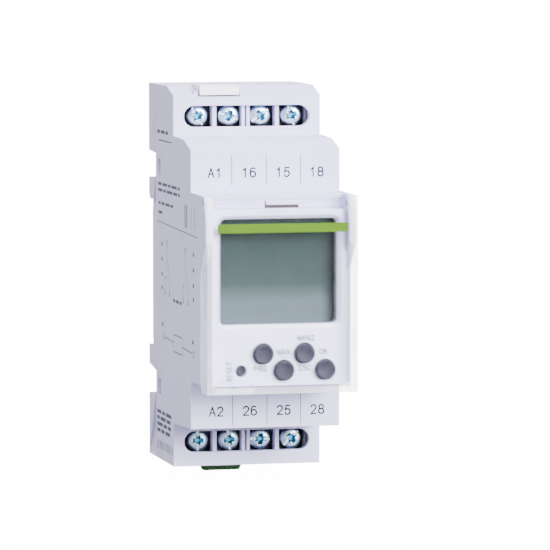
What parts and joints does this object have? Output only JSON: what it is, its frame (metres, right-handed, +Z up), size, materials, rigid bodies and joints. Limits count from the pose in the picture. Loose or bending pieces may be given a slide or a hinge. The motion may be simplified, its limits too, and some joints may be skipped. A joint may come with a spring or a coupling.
{
  "type": "din rail timer",
  "caption": "Two-module digital time switch for a 35 mm rail, with screw terminals, display, keys and a clear flip-up cover.",
  "frame": {"origin": "centre of the face that rests on the front of the 35 mm rail", "axes": "+X to the right seen from the front, +Y from the front back into the cabinet, +Z up"},
  "size_m": [0.0356, 0.0647, 0.0946],
  "materials": {
    "casing": "satin grey moulded casing",
    "base": "satin grey moulded back plate",
    "panel": "satin pale front panel",
    "clear": "clear moulded polycarbonate",
    "display": "grey-green reflective display behind a polariser",
    "key": "matt dark grey keys",
    "dark": "near-black insulating plastic",
    "zinc": "blue-passivated zinc-plated steel",
    "brass": "plain brass contact metal",
    "green": "green moulded rail clip",
    "white": "white moulded plastic",
    "board": "green solder-masked circuit board",
    "relay": "orange relay housing",
    "steel": "bright steel"
  },
  "bodies": {
    "casing": {"housing_shell": "casing", "rear_base": "base", "front_panel": "panel", "lcd_glass": "display", "upper_terminal_carrier": "dark", "lower_terminal_carrier": "dark", "switch_prg": "dark", "switch_man": "dark", "switch_esc": "dark", "switch_ok": "dark", "switch_reset": "dark", "board_link": "dark", "capacitor": "dark", "contact_A1": "brass", "contact_16": "brass", "contact_15": "brass", "contact_18": "brass", "contact_A2": "brass", "contact_26": "brass", "contact_25": "brass", "contact_28": "brass", "lcd_frame": "white", "main_board": "board", "display_board": "board", "relay_1": "relay", "relay_2": "relay", "clip_spring": "steel", "transformer": "steel"},
    "cover": {"clear_cover": "clear"},
    "rail_clip": {"rail_clip": "green"},
    "battery": {"battery_module": "white", "battery_cell": "steel"},
    "key_prg": {"key_prg": "key"},
    "key_man": {"key_man": "key"},
    "key_esc": {"key_esc": "key"},
    "key_ok": {"key_ok": "key"},
    "key_reset": {"key_reset": "key"},
    "screw_A1": {"screw_A1": "zinc"},
    "cage_A1": {"cage_A1": "zinc"},
    "screw_16": {"screw_16": "zinc"},
    "cage_16": {"cage_16": "zinc"},
    "screw_15": {"screw_15": "zinc"},
    "cage_15": {"cage_15": "zinc"},
    "screw_18": {"screw_18": "zinc"},
    "cage_18": {"cage_18": "zinc"},
    "screw_A2": {"screw_A2": "zinc"},
    "cage_A2": {"cage_A2": "zinc"},
    "screw_26": {"screw_26": "zinc"},
    "cage_26": {"cage_26": "zinc"},
    "screw_25": {"screw_25": "zinc"},
    "cage_25": {"cage_25": "zinc"},
    "screw_28": {"screw_28": "zinc"},
    "cage_28": {"cage_28": "zinc"}
  },
  "joints": [
    {"name": "cover_hinge", "type": "hinge", "parent": "casing", "child": "cover", "pos_m": [0, -0.0563, 0.02], "axis": [-1, 0, 0], "range_deg": [0, 105]},
    {"name": "clip_slide", "type": "slide", "parent": "casing", "child": "rail_clip", "axis": [0, 0, -1], "range_m": [0, 0.004], "stiffness_N_per_m": 1500, "springref_m": -0.002, "deforming": ["clip_spring"]},
    {"name": "battery_slide", "type": "slide", "parent": "casing", "child": "battery", "axis": [0, 0, 1], "range_m": [0, 0.006]},
    {"name": "key_prg_press", "type": "slide", "parent": "casing", "child": "key_prg", "axis": [0, 1, 0], "range_m": [0, 0.0005], "stiffness_N_per_m": 1200},
    {"name": "key_man_press", "type": "slide", "parent": "casing", "child": "key_man", "axis": [0, 1, 0], "range_m": [0, 0.0005], "stiffness_N_per_m": 1200},
    {"name": "key_esc_press", "type": "slide", "parent": "casing", "child": "key_esc", "axis": [0, 1, 0], "range_m": [0, 0.0005], "stiffness_N_per_m": 1200},
    {"name": "key_ok_press", "type": "slide", "parent": "casing", "child": "key_ok", "axis": [0, 1, 0], "range_m": [0, 0.0005], "stiffness_N_per_m": 1200},
    {"name": "key_reset_press", "type": "slide", "parent": "casing", "child": "key_reset", "axis": [0, 1, 0], "range_m": [0, 0.0005], "stiffness_N_per_m": 1200},
    {"name": "screw_A1_turn", "type": "hinge", "parent": "casing", "child": "screw_A1", "pos_m": [-0.0114, -0.0216, 0.0386], "axis": [0, 1, 0], "range_deg": [0, 1801]},
    {"name": "cage_A1_rise", "type": "slide", "parent": "casing", "child": "cage_A1", "axis": [0, -1, 0], "range_m": [0, 0.0025]},
    {"name": "screw_16_turn", "type": "hinge", "parent": "casing", "child": "screw_16", "pos_m": [-0.0038, -0.0216, 0.0386], "axis": [0, 1, 0], "range_deg": [0, 1801]},
    {"name": "cage_16_rise", "type": "slide", "parent": "casing", "child": "cage_16", "axis": [0, -1, 0], "range_m": [0, 0.0025]},
    {"name": "screw_15_turn", "type": "hinge", "parent": "casing", "child": "screw_15", "pos_m": [0.0038, -0.0216, 0.0386], "axis": [0, 1, 0], "range_deg": [0, 1801]},
    {"name": "cage_15_rise", "type": "slide", "parent": "casing", "child": "cage_15", "axis": [0, -1, 0], "range_m": [0, 0.0025]},
    {"name": "screw_18_turn", "type": "hinge", "parent": "casing", "child": "screw_18", "pos_m": [0.0114, -0.0216, 0.0386], "axis": [0, 1, 0], "range_deg": [0, 1801]},
    {"name": "cage_18_rise", "type": "slide", "parent": "casing", "child": "cage_18", "axis": [0, -1, 0], "range_m": [0, 0.0025]},
    {"name": "screw_A2_turn", "type": "hinge", "parent": "casing", "child": "screw_A2", "pos_m": [-0.0114, -0.0216, -0.0386], "axis": [0, 1, 0], "range_deg": [0, 1801]},
    {"name": "cage_A2_rise", "type": "slide", "parent": "casing", "child": "cage_A2", "axis": [0, -1, 0], "range_m": [0, 0.0025]},
    {"name": "screw_26_turn", "type": "hinge", "parent": "casing", "child": "screw_26", "pos_m": [-0.0038, -0.0216, -0.0386], "axis": [0, 1, 0], "range_deg": [0, 1801]},
    {"name": "cage_26_rise", "type": "slide", "parent": "casing", "child": "cage_26", "axis": [0, -1, 0], "range_m": [0, 0.0025]},
    {"name": "screw_25_turn", "type": "hinge", "parent": "casing", "child": "screw_25", "pos_m": [0.0038, -0.0216, -0.0386], "axis": [0, 1, 0], "range_deg": [0, 1801]},
    {"name": "cage_25_rise", "type": "slide", "parent": "casing", "child": "cage_25", "axis": [0, -1, 0], "range_m": [0, 0.0025]},
    {"name": "screw_28_turn", "type": "hinge", "parent": "casing", "child": "screw_28", "pos_m": [0.0114, -0.0216, -0.0386], "axis": [0, 1, 0], "range_deg": [0, 1801]},
    {"name": "cage_28_rise", "type": "slide", "parent": "casing", "child": "cage_28", "axis": [0, -1, 0], "range_m": [0, 0.0025]}
  ],
  "couplings": [
    {"joint": "screw_A1_turn", "follows": "cage_A1_rise", "rad_per_m": 12566},
    {"joint": "screw_16_turn", "follows": "cage_16_rise", "rad_per_m": 12566},
    {"joint": "screw_15_turn", "follows": "cage_15_rise", "rad_per_m": 12566},
    {"joint": "screw_18_turn", "follows": "cage_18_rise", "rad_per_m": 12566},
    {"joint": "screw_A2_turn", "follows": "cage_A2_rise", "rad_per_m": 12566},
    {"joint": "screw_26_turn", "follows": "cage_26_rise", "rad_per_m": 12566},
    {"joint": "screw_25_turn", "follows": "cage_25_rise", "rad_per_m": 12566},
    {"joint": "screw_28_turn", "follows": "cage_28_rise", "rad_per_m": 12566}
  ]
}
